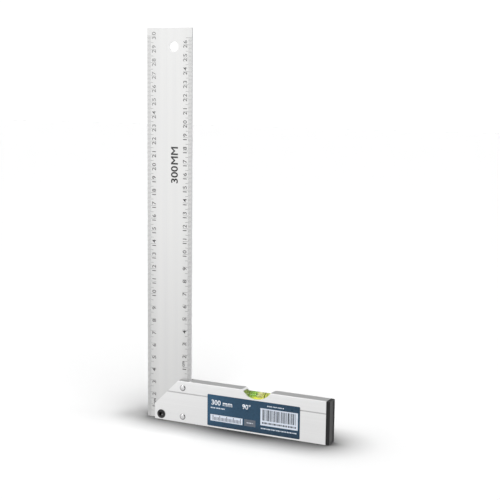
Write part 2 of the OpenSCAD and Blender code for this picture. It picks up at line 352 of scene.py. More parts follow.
# %% [markdown]
# ## Finishes
# Each material starts from what the real one is. They all share the Principled shader, so one function
# makes it and returns its node tree. Patterns read Object coordinates, which are metres here, so a grain
# of 0.4 mm is a noise whose scale is one over 0.4 mm. A noise seldom leaves the middle of its range, and a
# finish follows it there: in colour, in roughness or in relief.
# %% Functions that start a material and let it follow a pattern
NOISE_SPAN = (0.3, 0.7)


def new_finish(name, colour, roughness, metallic=0.0, **sockets):
    """Starts a material with one Principled shader, and returns the material, its tree and the shader."""
    finish = bpy.data.materials.new(name)
    finish.use_nodes = True
    tree = finish.node_tree
    tree.nodes.clear()
    inputs = {"Base Color": srgb(colour), "Roughness": roughness, "Metallic": metallic}
    shader = add_node(tree, "ShaderNodeBsdfPrincipled", inputs)
    feed(shader, {socket.replace("_", " "): value for socket, value in sockets.items()})
    add_node(tree, "ShaderNodeOutputMaterial", {0: shader})
    return finish, tree, shader


def grain(tree, *sizes, detail=2.0):
    """A noise with grains of a real size in metres: one size all round, or one each for X, Y and Z."""
    place = add_node(tree, "ShaderNodeTexCoord").outputs["Object"]
    per_metre = [1 / size for size in (sizes if len(sizes) == 3 else 3 * sizes)]
    stretched = add_node(tree, "ShaderNodeMapping", {0: place, "Scale": per_metre})
    return add_node(tree, "ShaderNodeTexNoise", {0: stretched, "Scale": 1.0, "Detail": detail})


def follow(tree, shader, pattern, colours=None, roughness=None, depth=None):
    """Lets a finish follow a pattern between two hex colours or roughnesses, or in relief by a depth."""
    start, end = NOISE_SPAN
    if colours:
        ramp = add_node(tree, "ShaderNodeValToRGB", {0: pattern})
        for stop, share, colour in zip(ramp.color_ramp.elements, NOISE_SPAN, colours):
            stop.position = share
            stop.color = srgb(colour)
        feed(shader, {"Base Color": ramp})
    if roughness:
        inputs = {0: pattern, 1: start, 2: end, 3: roughness[0], 4: roughness[1]}
        feed(shader, {"Roughness": add_node(tree, "ShaderNodeMapRange", inputs)})
    if depth:
        inputs = {"Strength": 1.0, "Distance": depth, "Height": pattern}
        feed(shader, {"Normal": add_node(tree, "ShaderNodeBump", inputs)})


print("finish helpers ready")

# %% [markdown]
# Few surfaces are even all over. A finish is darkened or painted over by place: along an axis, or by the
# distance from the axis of a rivet or a screw. Each function takes what feeds the shader so far, and puts one
# node behind it. The amounts were matched to the photograph, which shows that a place is darker or duller,
# but not why. Some of these marks are painted shade or light, and the comments say so where they are.
# %% Functions that change a finish by place
def source_of(shader, socket):
    """What feeds a socket so far: the output that it is linked to, or else its value."""
    links = shader.inputs[socket].links
    return links[0].from_socket if links else shader.inputs[socket].default_value


def paint(tree, shader, colour, share=1.0, blend_type="MIX"):
    """Lays a linear colour over that of a finish, as far as a share from 0 to 1."""
    inputs = {0: share, 6: source_of(shader, "Base Color"), 7: colour}
    mixed = add_node(tree, "ShaderNodeMix", inputs, data_type="RGBA", blend_type=blend_type)
    feed(shader, {"Base Color": mixed.outputs[2]})


def darken(tree, shader, tone):
    """Multiplies the colour of a finish by a tone."""
    paint(tree, shader, tone, blend_type="MULTIPLY")


def from_axis(tree, x, z):
    """Distance from a line along Y, such as the axis of a rivet."""
    place = add_node(tree, "ShaderNodeTexCoord").outputs["Object"]
    flat = add_node(tree, "ShaderNodeVectorMath", {0: place, 1: (1, 0, 1)}, operation="MULTIPLY")
    reach = add_node(tree, "ShaderNodeVectorMath", {0: flat, 1: (x, 0, z)}, operation="DISTANCE")
    return reach.outputs["Value"]


def middle(node):
    """The middle of a part's box."""
    low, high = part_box(node)
    return (low + high) / 2


RIVETS = ("upper_rivet", "lower_rivet")
print("rivets at", [[round(side / MM, 1) for side in middle(rivet)] for rivet in RIVETS], "mm")

# %% [markdown]
# **Brushed stainless steel** is the blade. Abrasive belts run along the strip and leave fine lines a few
# hundredths of a millimetre wide. They are too fine to show here, so they are drawn 0.35 mm wide, with a
# second set of broad soft bands. The lines blur reflections across the blade more than along it, which
# roughness and a shallow relief both follow.
# %% Brushed stainless steel
FOOT_SHADE_TONE = 0.96
EDGE_TONES = (0.91, 0.97)
TORN_SPREAD = 0.08


def brushed_stainless():
    finish, tree, shader = new_finish("brushed_stainless", "#dfdfdf", 0.32, metallic=1.0)
    fine = grain(tree, 0.35 * MM, 0.35 * MM, 60 * MM)
    broad = grain(tree, 5 * MM, 5 * MM, 400 * MM, detail=1.0)
    both = add_node(tree, "ShaderNodeMix", {0: 0.5, 2: fine, 3: broad})
    follow(tree, shader, both, colours=("#dcdcdc", "#e2e2e1"))
    follow(tree, shader, fine, roughness=(0.28, 0.38), depth=0.0012 * MM)
    # The blade is painted a little darker low down, a painted shade for the shaded floor that it mirrors
    darken(tree, shader, fade(tree, "Z", 60 * MM, 170 * MM, FOOT_SHADE_TONE, 1.0))
    centre = middle("blade").x
    # It is also darker along its edges, more so low down
    along_edges = fade(tree, "Z", 80 * MM, 210 * MM, *EDGE_TONES)
    left = fade(tree, "X", centre - 16 * MM, centre - 8 * MM, along_edges, 1.0)
    darken(tree, shader, fade(tree, "X", centre + 8 * MM, centre + 16 * MM, left, along_edges))
    return finish


def cut_steel(name, tone, roughness):
    """Where the strip was sheared or punched, its edge is grainy, and belts never reached it."""
    finish, tree, shader = new_finish(name, tone, roughness, metallic=1.0)
    torn = grain(tree, 0.3 * MM)
    follow(tree, shader, torn, roughness=(roughness - TORN_SPREAD, roughness + TORN_SPREAD), depth=0.004 * MM)
    return finish


steel = brushed_stainless()
sheared = cut_steel("sheared_stainless", "#cfcfd0", 0.45)
# The punched wall of the hang hole is painted near white, a painted highlight round the hole
punched = cut_steel("punched_stainless", "#fafafa", 0.75)
print("made", steel.name, sheared.name, punched.name)

# %% [markdown]
# ** Satin anodised aluminium** is the stock. The extrusion is etched matt before anodising, so it mirrors softly and evenly, with only the faint lengthwise lines of the die left in it. The fine groove along each face is too narrow to polish, so its faces get a duller finish of their own, painted darker as a painted shade for the shade that falls in the groove.
# %% Satin anodised aluminium
RIVET_SHADE_TONE = 0.4
SHELF_SHADE_TONE = 0.5
FAR_END_TONE = 0.965


def satin_anodised():
    finish, tree, shader = new_finish("satin_anodised_aluminium", "#ececec", 0.4, metallic=1.0)
    die_lines = grain(tree, 90 * MM, 0.6 * MM, 0.6 * MM, detail=1.0)
    follow(tree, shader, die_lines, colours=("#eeeeee", "#f1f1f1"))
    follow(tree, shader, grain(tree, 0.12 * MM), roughness=(0.37, 0.45), depth=0.002 * MM)
    # A painted shade goes round each rivet's head as a fine dark line, set a hair off centre
    for rivet in RIVETS:
        centre = middle(rivet)
        reach = from_axis(tree, centre.x - 0.1 * MM, centre.z - 0.1 * MM)
        darken(tree, shader, fade(tree, reach, 2.36 * MM, 2.6 * MM, RIVET_SHADE_TONE, 1.0))
    # The narrow shelves beside the blade are painted darker, a painted shade in the corner between blade and
    # stock
    top, blade_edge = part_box("stock")[1].z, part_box("blade")[1].x
    shade_beside_blade = fade(tree, "X", blade_edge - 0.3 * MM, blade_edge + 0.1 * MM, SHELF_SHADE_TONE, 1.0)
    darken(tree, shader, fade(tree, "Z", top - 0.14 * MM, top - 0.04 * MM, 1.0, shade_beside_blade))
    # The stock is a little darker towards the far end
    darken(tree, shader, fade(tree, "X", cad_low.x + 110 * MM, cad_low.x + 150 * MM, 1.0, FAR_END_TONE))
    return finish


def groove_lining():
    # Painted shade: the groove's faces are darker than the rest of the stock
    finish, tree, shader = new_finish("satin_anodised_groove_shade", "#d2d2d2", 0.5, metallic=1.0)
    follow(tree, shader, grain(tree, 0.4 * MM), ("#cccccc", "#d7d7d7"), (0.45, 0.6))
    return finish


anodised = satin_anodised()
groove_shade_finish = groove_lining()
print("made", anodised.name, groove_shade_finish.name)

# %% [markdown]
# ** Moulded ABS** is the end cap: black, with the fine spark-eroded grain of its mould. **Formed aluminium** is the rivets: the setting tool leaves the domes smooth and bright. **Blackened steel** is the screw and its nut: a thin dark oxide that stays a little glossy. The screw's socket is painted black and its dome less shiny above the socket, both as painted shade, and a pale fleck at one corner is a painted glint.
# %% Plastic, rivets and black steel
CAP_SHINE = (0.3, 0.5)
RIM_SHADE_TONE = 0.35
TOP_SHADE_SHINE = (0.5, 0.26)
SOCKET_SHADE_TONE, SOCKET_SHINE, SOCKET_ROUGHNESS = "#030303", 0.08, 0.9
GLINT_FLECK_TONE = "#7e7e7f"


def moulded_abs():
    finish, tree, shader = new_finish("moulded_black_abs", "#131314", 0.46)
    mould = grain(tree, 0.18 * MM, detail=3.0)
    follow(tree, shader, mould, ("#101011", "#171718"), (0.4, 0.54), depth=0.012 * MM)
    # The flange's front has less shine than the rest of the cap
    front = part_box("end_cap")[0].y
    shine = fade(tree, "Y", front + 0.1 * MM, front + 0.4 * MM, *CAP_SHINE)
    feed(shader, {"Specular IOR Level": shine})
    return finish


def formed_aluminium():
    finish, tree, shader = new_finish("formed_aluminium", "#dcdcdd", 0.16, metallic=1.0)
    follow(tree, shader, grain(tree, 0.5 * MM), ("#d2d2d4", "#e4e4e4"), (0.12, 0.24))
    # The low rim of a dome is painted darker, below more than above, as a painted shade
    upper, lower = [from_axis(tree, middle(rivet).x, middle(rivet).z + 0.25 * MM) for rivet in RIVETS]
    reach = add_node(tree, "ShaderNodeMath", {0: upper, 1: lower}, operation="MINIMUM")
    darken(tree, shader, fade(tree, reach, 1.5 * MM, 2.3 * MM, 1.0, RIM_SHADE_TONE))
    return finish


def blackened_steel():
    finish, tree, shader = new_finish("blackened_steel", "#161617", 0.34)
    follow(tree, shader, grain(tree, 0.35 * MM, detail=3.0), ("#141415", "#1f1f20"), (0.28, 0.42))
    # Painted shade: the socket is black and dull, and the dome has less shine above it
    screw = middle("clamp_screw")
    socket = (from_axis(tree, screw.x + 0.3 * MM, screw.z + 0.5 * MM), 1.2 * MM, 1.7 * MM)
    # A painted glint: a pale fleck at one corner of the dome
    glint_fleck = (from_axis(tree, screw.x + 1.6 * MM, screw.z + 0.1 * MM), 0.25 * MM, 0.7 * MM)
    paint(tree, shader, srgb(SOCKET_SHADE_TONE), fade(tree, *socket, 1.0, 0.0))
    paint(tree, shader, srgb(GLINT_FLECK_TONE), fade(tree, *glint_fleck, 1.0, 0.0))
    shaded_top = fade(tree, "Z", screw.z - 0.2 * MM, screw.z + 1.6 * MM, *TOP_SHADE_SHINE)
    feed(shader, {"Specular IOR Level": fade(tree, *socket, SOCKET_SHINE, shaded_top)})
    rough = fade(tree, *socket, SOCKET_ROUGHNESS, source_of(shader, "Roughness"))
    feed(shader, {"Roughness": rough})
    return finish


abs_black = moulded_abs()
rivet_metal = formed_aluminium()
black_steel = blackened_steel()
print("made", abs_black.name, rivet_metal.name, black_steel.name)

# %% [markdown]
# ## Broken edges
# No machined edge is perfectly sharp. The saw, the mill and the punch leave edges that are then broken
# with a file or in a tumbler, and each one catches a thin line of light. The frame's parts have sharp
# edges, so a part with visible edges is copied, its loose triangles are welded, its flat faces are made
# whole again, and a small bevel goes round every edge that turns by more than 30 degrees. The finished
# copy then stands for the part.
# %% Copy, weld and break the edges
WELD = 0.001 * MM
FLAT_ANGLE = math.radians(0.2)
SMOOTH_ANGLE = math.radians(25)
SHARP_ANGLE = math.radians(30)


@contextmanager
def editing():
    """Edit mode with everything selected, for as long as a with block lasts."""
    bpy.ops.object.mode_set(mode="EDIT")
    bpy.ops.mesh.select_all(action="SELECT")
    yield
    bpy.ops.object.mode_set(mode="OBJECT")


def welded_copy(node, name):
    """Copies a part of the frame, welds its loose triangles and makes its flat faces whole."""
    piece = bpy.data.objects.new(name, frame["nodes"][node].data.copy())
    bpy.context.scene.collection.objects.link(piece)
    only(piece)
    bpy.ops.mesh.customdata_custom_splitnormals_clear()
    with editing():
        bpy.ops.mesh.remove_doubles(threshold=WELD)
        bpy.ops.mesh.dissolve_limited(angle_limit=FLAT_ANGLE)
    bpy.ops.object.shade_smooth_by_angle(angle=SMOOTH_ANGLE)
    return piece


def break_edges(piece, width, spare=None):
    """Rounds the sharp edges of a piece by a width in metres, apart from those whose middle passes a test."""
    only(piece)
    bpy.ops.object.mode_set(mode="EDIT")
    bpy.ops.mesh.select_mode(type="EDGE")
    bpy.ops.mesh.select_all(action="DESELECT")
    bpy.ops.mesh.edges_select_sharp(sharpness=SHARP_ANGLE)
    if spare:
        edges = bmesh.from_edit_mesh(piece.data)
        for edge in edges.edges:
            if edge.select and spare((edge.verts[0].co + edge.verts[1].co) / 2):
                edge.select_set(False)
        bmesh.update_edit_mesh(piece.data)
    bpy.ops.transform.edge_bevelweight(value=1)
    bpy.ops.mesh.select_mode(type="VERT")
    bpy.ops.object.mode_set(mode="OBJECT")
    bevel = piece.modifiers.new("broken_edges", "BEVEL")
    bevel.width = width
    bevel.segments = 2
    bevel.limit_method = "WEIGHT"
    bevel.use_clamp_overlap = False
    bpy.ops.object.modifier_apply(modifier=bevel.name)
    # Where two bevels meet at a shallow corner, slivers of no width can stay behind
    with editing():
        bpy.ops.mesh.remove_doubles(threshold=WELD)
        bpy.ops.mesh.dissolve_degenerate(threshold=WELD)
        bpy.ops.mesh.delete_loose()
    bpy.ops.object.shade_smooth_by_angle(angle=SMOOTH_ANGLE)
    print(piece.name, "has", len(piece.data.polygons), "faces")
    return piece


def dress(piece, finish, body, stands_for=()):
    """Gives a piece its material, parents it to its body, and hides the parts of the frame that it stands
    for.
    """
    piece.data.materials.clear()
    piece.data.materials.append(finish)
    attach(piece, body)
    if stands_for:
        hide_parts(*stands_for)
    return piece


# %% [markdown]
# The stock, the blade and the cap are dressed first. Faces of one part can differ in finish, as the painted
# shade in the stock's groove or the sheared and punched edges of the blade do, so they get slots of their
# own.
# %% Stock, blade and cap
BODY = "root"
STOCK_EDGE = 0.045 * MM
BLADE_EDGE = 0.1 * MM
CAP_EDGE = 0.15 * MM
GROOVE_Z = 23.8 * MM
GROOVE_HALF = 0.7 * MM
GROOVE_FLOOR = 4.3 * MM
HOLE_RIM = 0.3 * MM
FACING_FRONT = 0.95


def in_groove(point):
    """True for the edges of the fine groove along each face of the stock, which stay crisp."""
    return abs(point.z - GROOVE_Z) < GROOVE_HALF and abs(point.y) > GROOVE_FLOOR


stock = break_edges(welded_copy("stock", "stock_extrusion"), STOCK_EDGE, spare=in_groove)
dress(stock, anodised, BODY, ["stock"])
stock.data.materials.append(groove_shade_finish)
# The groove's own faces slope up or down, and those at its ends face along the stock
for face in stock.data.polygons:
    if in_groove(face.center) and abs(face.normal.z) > 0.3 and abs(face.normal.x) < 0.1:
        face.material_index = 1
print("groove faces:", sum(face.material_index for face in stock.data.polygons))
blade = break_edges(welded_copy("blade", "rule_blade"), BLADE_EDGE)
dress(blade, steel, BODY, ["blade"])
blade.data.materials.append(sheared)
blade.data.materials.append(punched)
hole = next(mount for mount in frame["record"]["mounts"] if mount["name"] == "hang_hole")
for face in blade.data.polygons:
    offset = face.center - Vector(hole["pos_m"])
    if math.hypot(offset.x, offset.z) < hole["dims"]["r_mm"] * MM + HOLE_RIM:
        face.material_index = 2
    elif abs(face.normal.y) < FACING_FRONT:
        face.material_index = 1
print("faces of the hole:", sum(face.material_index == 2 for face in blade.data.polygons))
cap = break_edges(welded_copy("end_cap", "stock_cap"), CAP_EDGE)
dress(cap, abs_black, BODY, ["end_cap"])

# %% [markdown]
# The rivets, the screw and the nut already have their domes, socket and driver slot, and a bevel would add
# nothing. They stay as they come and only get their finish.
# %% Dress the fasteners
def refinish(node, finish):
    """Gives a part of the frame a new material."""
    part = frame["nodes"][node]
    part.data.materials.clear()
    part.data.materials.append(finish)


for node in RIVETS:
    refinish(node, rivet_metal)
for node in ("clamp_screw", "sleeve_nut"):
    refinish(node, black_steel)
print("fasteners dressed")

# %% [markdown]
# ## Graduations
# The blade is graduated on both edges: the outer scale counts from the foot, the inner one from the stock.
# The real marks are etched and blackened, and have no thickness to speak of, so each is drawn as a film
# 0.02 mm thick on the steel. One centimetre of scale is modelled once, as a comb of ten bars, and an array
# repeats it. A bar is a plane that is laid on the face at its size and extruded to the film's thickness.
# %% Measure the blade's face
MARK_T = 0.02 * MM
MARK_W = 0.2 * MM
TICK_1 = 3.1 * MM
TICK_5 = 5.3 * MM
TICK_10 = 7.5 * MM

blade_low, blade_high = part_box("blade")
face_y = blade_low.y
outer_x, inner_x = blade_low.x, blade_high.x
foot_z, stock_top = blade_low.z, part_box("stock")[1].z
print("face at y =", round(face_y / MM, 2), "mm, edges", round((inner_x - outer_x) / MM, 1), "mm apart")

# %% One bar, one centimetre, one scale
def thicken(offset):
    """Extrudes the active flat mesh by an offset, and turns its faces outwards."""
    with editing():
        bpy.ops.mesh.remove_doubles(threshold=WELD)
        bpy.ops.mesh.extrude_region_move(TRANSFORM_OT_translate={"value": offset})
        bpy.ops.mesh.select_all(action="SELECT")
        bpy.ops.mesh.normals_make_consistent(inside=False)


def film(name, low_x, high_x, low_z, high_z, on_y, thickness=MARK_T):
    """A thin printed or etched field on a front face: a plane at its size, extruded towards the viewer."""
    centre = ((low_x + high_x) / 2, on_y + thickness / 2, (low_z + high_z) / 2)
    bpy.ops.mesh.primitive_plane_add(size=1, location=centre, rotation=(math.radians(90), 0, 0))
    bar = bpy.context.object
    bar.name = name
    bar.scale = (high_x - low_x, high_z - low_z, 1)
    bpy.ops.object.transform_apply(location=True, rotation=True, scale=True)
    thicken((0, -thickness, 0))
    return bar


def join(pieces, name):
    """Joins several objects into the first of them."""
    only(pieces[0])
    for piece in pieces:
        piece.select_set(True)
    bpy.ops.object.join()
    joined = bpy.context.object
    joined.name = name
    return joined


def scale_comb(name, edge_x, inward, start_z, centimetres, extra):
    """Graduates an edge: a comb of ten bars for each centimetre, then the last few bars one by one."""
    def bar(step, at_z):
        length = TICK_10 if step % 10 == 0 else TICK_5 if step % 5 == 0 else TICK_1
        ends = sorted((edge_x, edge_x + inward * length))
        return film("bar", ends[0], ends[1], at_z - MARK_W / 2, at_z + MARK_W / 2, face_y)

    comb = join([bar(step, start_z + step * MM) for step in range(1, 11)], name)
    rows = comb.modifiers.new("centimetres", "ARRAY")
    rows.count = centimetres
    rows.use_relative_offset = False
    rows.use_constant_offset = True
    rows.constant_offset_displace = (0, 0, 10 * MM)
    bpy.ops.object.modifier_apply(modifier=rows.name)
    first = 10 * centimetres + 1
    rest = [bar(step, start_z + step * MM) for step in range(first, first + extra)]
    return join([comb, *rest], name)


OUTER_CM = 30
INNER_CM = 26
INNER_REST_MM = 5
outer_ticks = scale_comb("outer_scale_ticks", outer_x, 1, foot_z, OUTER_CM, 0)
inner_ticks = scale_comb("inner_scale_ticks", inner_x, -1, stock_top, INNER_CM, INNER_REST_MM)
print("ticks:", [len(ticks.data.polygons) // 6 for ticks in (outer_ticks, inner_ticks)], "outer and inner")

# %% [markdown]
# The numbers read upwards, with the tops of the digits to the left. The long centimetre bar passes between
# the two digits of a number, and a single digit stands just below its bar. Each digit is typed once as a
# text object, given the film's thickness, and made a mesh. Copies of that mesh are then set in place and
# joined into one piece.
# %% Type the digits
DIGIT_H = 3.3 * MM
DIGIT_WIDEN = 1.13
DIGIT_IN = 5.85 * MM
# The first digit stands below its centimetre's bar and the second above it
DIGIT_OFFSETS = (-1.45 * MM, 1.95 * MM)

upwards = Matrix(((0, -1, 0, 0), (0, 0, -1, 0), (1, 0, 0, 0), (0, 0, 0, 1)))


def type_word(text, height, boldness=0.0, length=None, widen=1.0):
    """Types a word centred on the origin, as tall and long as asked, as a mesh with the film's thickness."""
    bpy.ops.object.text_add()
    word = bpy.context.object
    word.data.body = text
    word.data.resolution_u = 4
    word.data.offset = boldness
    bpy.ops.object.convert(target="MESH")
    word = bpy.context.object
    scale = height / word.dimensions.y
    stretch = length / word.dimensions.x if length else scale * widen
    word.scale = (stretch, scale, 1)
    bpy.ops.object.transform_apply(location=False, rotation=False, scale=True)
    thicken((0, 0, MARK_T))
    bpy.ops.object.origin_set(type="ORIGIN_GEOMETRY", center="BOUNDS")
    return word


def stamp(word, x, y, z, turn=upwards):
    """A copy of a typed word, turned and set on a face."""
    copy = word.copy()
    copy.data = word.data.copy()
    bpy.context.scene.collection.objects.link(copy)
    copy.matrix_world = Matrix.Translation((x, y, z)) @ turn
    return copy


def settle(pieces, name):
    """Joins stamped copies and applies their place, so that the piece's object sits at the origin."""
    joined = join(pieces, name)
    bpy.ops.object.transform_apply(location=True, rotation=True, scale=True)
    return joined


digits = {d: type_word(d, DIGIT_H, boldness=0.006, widen=DIGIT_WIDEN) for d in "0123456789"}
print("digit width to height:", round(digits["8"].dimensions.x / digits["8"].dimensions.y, 2))

# %% Number both scales
def number_scale(name, at_x, start_z, count):
    """Stamps the numbers from 1 to count beside a scale that starts at a height."""
    stamped = []
    for number in range(1, count + 1):
        line_z = start_z + number * 10 * MM
        for digit, offset in zip(str(number), DIGIT_OFFSETS):
            stamped.append(stamp(digits[digit], at_x, face_y, line_z + offset))
    return settle(stamped, name)


outer_numbers = number_scale("outer_scale_numbers", outer_x + DIGIT_IN, foot_z, OUTER_CM)
inner_numbers = number_scale("inner_scale_numbers", inner_x - DIGIT_IN, stock_top, INNER_CM)
print("numbers:", len(outer_numbers.data.polygons), "and", len(inner_numbers.data.polygons), "faces")

# %% [markdown]
# Two small unit marks and the size of the square in bold capitals complete the print on the steel. The
# outline of an M can't be made bolder without crossing itself, so the two capitals are stamped twice, a
# hair apart.
# %% Unit marks and size mark
UNIT_H = 1.9 * MM
UNIT_UP = 12.8 * MM
UNIT_IN = DIGIT_IN + 0.7 * MM
SIZE_H = 6.1 * MM
SIZE_LENGTH = 13.2 * MM
SIZE_X = outer_x + 24.0 * MM
SIZE_Z = foot_z + 202.2 * MM
HALF_STEP = 7.25 * MM
DOUBLE_STRIKE = 0.18 * MM
BOLD = 0.02

unit = type_word("cm", UNIT_H, boldness=BOLD)
units = settle(
    [
        stamp(unit, outer_x + UNIT_IN, face_y, foot_z + UNIT_UP),
        stamp(unit, inner_x - UNIT_IN, face_y, stock_top + UNIT_UP),
    ],
    "unit_marks",
)
size_figure = type_word("300", SIZE_H, boldness=BOLD, length=SIZE_LENGTH)
size_unit = type_word("MM", SIZE_H, length=SIZE_LENGTH)
size_mark = settle(
    [
        stamp(size_figure, SIZE_X, face_y, SIZE_Z - HALF_STEP),
        stamp(size_unit, SIZE_X, face_y, SIZE_Z + HALF_STEP - DOUBLE_STRIKE),
        stamp(size_unit, SIZE_X, face_y - WELD, SIZE_Z + HALF_STEP + DOUBLE_STRIKE),
    ],
    "size_mark",
)
for word in [unit, size_figure, size_unit, *digits.values()]:
    bpy.data.objects.remove(word)
print("size mark", round(size_mark.dimensions.z / MM, 1), "mm long")

# %% [markdown]
# ** Laser etching** leaves a matt dark oxide on the steel. It is paler on the outer scale than on the inner one. Towards the free end it is painted paler still, a painted reflection of the brightest light, which the blade mirrors there.
# %% Etch the marks
PALER_FROM, PALER_TO = 195 * MM, 275 * MM


def etched(name, tone, glare_tone):
    finish, tree, shader = new_finish(name, tone, 0.6)
    # Painted reflection: the marks are paler towards the free end
    paint(tree, shader, srgb(glare_tone), fade(tree, "Z", PALER_FROM, PALER_TO, 0.0, 1.0))
    follow(tree, shader, grain(tree, 0.15 * MM), roughness=(0.5, 0.7))
    return finish


etching = etched("etched_black", "#262626", "#6a6a6a")
grey_etching = etched("etched_grey", "#484848", "#868686")
light_etching = etched("light_etching", "#606060", "#6c6c6c")
for piece in (inner_ticks, inner_numbers, size_mark, units):
    dress(piece, etching, BODY)
dress(outer_numbers, grey_etching, BODY)
dress(outer_ticks, light_etching, BODY)
print("made", etching.name, grey_etching.name, light_etching.name)

# %% [markdown]
# ## Spirit vial
# The vial is a clear acrylic barrel filled with a yellow-green fluid, with a bubble left in it and two black
# rings for the bubble to stand between. Acrylic and fluid bend light almost alike, so the wall between them
# is all but invisible. A ray tracer would treat two touching surfaces as two jumps in and out of air, so the
# barrel's wetted bore gets a finish that doesn't bend light, and the fluid is drawn a hair smaller. The fluid
# takes blue out of the light as it goes, more the deeper it is: yellow where it is thin, green where it is
# deep, and pale at the bubble. Its tints along the tube are painted light and shade, matched to the
# photograph: darker at the left, where the stock's walls show through, and paler at the right, where the
# white backdrop does. Such dyes are often fluorescent, but the fluid's glow here is a painted light that
# lifts its darker parts. The bubble's wall does bend light, from fluid to air, and that gives it its bright
# middle and dark rim.
# %% Clear acrylic, wetted wall, fluid and bubble
ACRYLIC_IOR = 1.49
FLUID_IOR = 1.43
DYE_COLOUR = "#f2f43c"
DYE_DENSITY = 300.0
PAINTED_GLOW = 0.27
TUBE_LIGHT_AND_SHADE = (
    (0.0, "#a2b260"), (0.16, "#98b050"), (0.26, "#b0dc5a"), (0.4, "#74b84c"), (0.47, "#78b054"),
    (0.54, "#c8ccc0"), (0.64, "#d0ceba"), (0.8, "#ccd870"), (1.0, "#dae878"),
)
BOTTOM_LIGHT_TINT = "#f2ee88"
SPECKLES = (0.72, 1.16)
LIT_FROM = (0.22, 0.36)
LIT_HEIGHT = (-0.5 * MM, 0.8 * MM)


def clear_acrylic():
    finish, tree, shader = new_finish(
        "clear_acrylic", "#fdfefb", 0.02, IOR=ACRYLIC_IOR, Transmission_Weight=1.0,
    )
    follow(tree, shader, grain(tree, 0.8 * MM), roughness=(0.01, 0.04))
    return finish


def wetted_wall():
    return new_finish("wetted_acrylic", "#ffffff", 0.0, IOR=1.0, Transmission_Weight=1.0)[0]


def dyed(finish):
    """Fills a clear finish with dyed fluid."""
    inputs = {"Color": srgb(DYE_COLOUR), "Density": DYE_DENSITY}
    dye = add_node(finish.node_tree, "ShaderNodeVolumeAbsorption", inputs)
    feed(finish.node_tree.nodes["Material Output"], {"Volume": dye})
    return finish


def level_fluid():
    finish, tree, shader = new_finish("level_fluid", "#ffffff", 0.0, IOR=1.0, Transmission_Weight=1.0)
    low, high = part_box("vial_fluid")
    # The tints along the tube are painted light and shade
    along = add_node(tree, "ShaderNodeMapRange", {0: place_along(tree, "X"), 1: low.x, 2: high.x})
    ramp = add_node(tree, "ShaderNodeValToRGB", {0: along})
    stops = ramp.color_ramp.elements
    for share, tint in TUBE_LIGHT_AND_SHADE[1:-1]:
        stops.new(share)
    for stop, (share, tint) in zip(stops, TUBE_LIGHT_AND_SHADE):
        stop.position = share
        stop.color = srgb(tint)
    feed(shader, {"Base Color": ramp})
    # Soft speckles show in the fluid
    speckle_noise = grain(tree, 1.1 * MM, detail=1.0)
    inputs = {0: speckle_noise, 1: NOISE_SPAN[0], 2: NOISE_SPAN[1], 3: SPECKLES[0], 4: SPECKLES[1]}
    darken(tree, shader, add_node(tree, "ShaderNodeMapRange", inputs))
    # A pool of light is painted along the bottom of the right half, where the dye shows pure yellow
    axis = (low.z + high.z) / 2
    at_right = fade(tree, along, *LIT_FROM, 0.0, 1.0)
    lit = fade(tree, "Z", axis + LIT_HEIGHT[0], axis + LIT_HEIGHT[1], at_right, 0.0)
    paint(tree, shader, srgb(BOTTOM_LIGHT_TINT), lit)
    # A painted glow: the fluid shines a little in its own colour
    feed(shader, {"Emission Color": source_of(shader, "Base Color"), "Emission Strength": PAINTED_GLOW})
    return dyed(finish)


def bubble_wall():
    finish = new_finish("bubble_wall", "#ffffff", 0.0, IOR=FLUID_IOR, Transmission_Weight=1.0)[0]
    return dyed(finish)


def ring_ink():
    finish, tree, shader = new_finish("ring_ink", "#3c4a1a", 0.35)
    follow(tree, shader, grain(tree, 0.2 * MM), roughness=(0.28, 0.45))
    return finish


acrylic = clear_acrylic()
wetted = wetted_wall()
fluid_tint = level_fluid()
bubble_skin = bubble_wall()
ink = ring_ink()
print("made", acrylic.name, wetted.name, fluid_tint.name, bubble_skin.name, ink.name)

# %% [markdown]
# The barrel gets the wetted finish on its bore only, and the fluid the bubble's finish on every face that
# is neither its round wall nor one of its ends.
# %% Assemble the vial
BARREL_EDGE = 0.08 * MM
FLUID_GAP = 0.015 * MM
NEAR = 0.05 * MM
WALL_SHARE = 0.9

fluid_low, fluid_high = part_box("vial_fluid")
axis_x, axis_z = middle("vial_fluid").x, middle("vial_tube").z
fluid_r = (fluid_high.z - fluid_low.z) / 2


def off_centre(point):
    """Distance of a point from the vial's axis."""
    return math.hypot(point.y, point.z - axis_z)


barrel = break_edges(welded_copy("vial_tube", "vial_barrel"), BARREL_EDGE)
dress(barrel, acrylic, BODY, ["vial_tube"])
barrel.data.materials.append(wetted)
for face in barrel.data.polygons:
    inside = off_centre(face.center) < fluid_r + NEAR
    between = fluid_low.x - NEAR < face.center.x < fluid_high.x + NEAR
    face.material_index = 1 if inside and between else 0

fluid = only(welded_copy("vial_fluid", "vial_liquid"))
shrink = 1 - FLUID_GAP / fluid_r
with editing():
    bpy.ops.transform.resize(value=(1, shrink, shrink), center_override=(axis_x, 0, axis_z))
dress(fluid, fluid_tint, BODY, ["vial_fluid"])
fluid.data.materials.append(bubble_skin)
for face in fluid.data.polygons:
    wall = off_centre(face.center) > WALL_SHARE * fluid_r
    end = min(face.center.x - fluid_low.x, fluid_high.x - face.center.x) < NEAR
    face.material_index = 0 if wall or end else 1

refinish("vial_plug", acrylic)
refinish("left_ring", ink)
refinish("right_ring", ink)
print("bubble faces:", sum(face.material_index for face in fluid.data.polygons))

# %% [markdown]
# ## Label
# The label is a film of printed vinyl with a navy ground. Its print here is made of plain shapes: pale
# panels, a row of bars, a small grey field and a short ruler. Each is a thin film on the label's face, and
# films of one ink are joined into one piece.
# %% Printed vinyl
VINYL_ROUGHNESS = 0.32
label_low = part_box("label")[0]


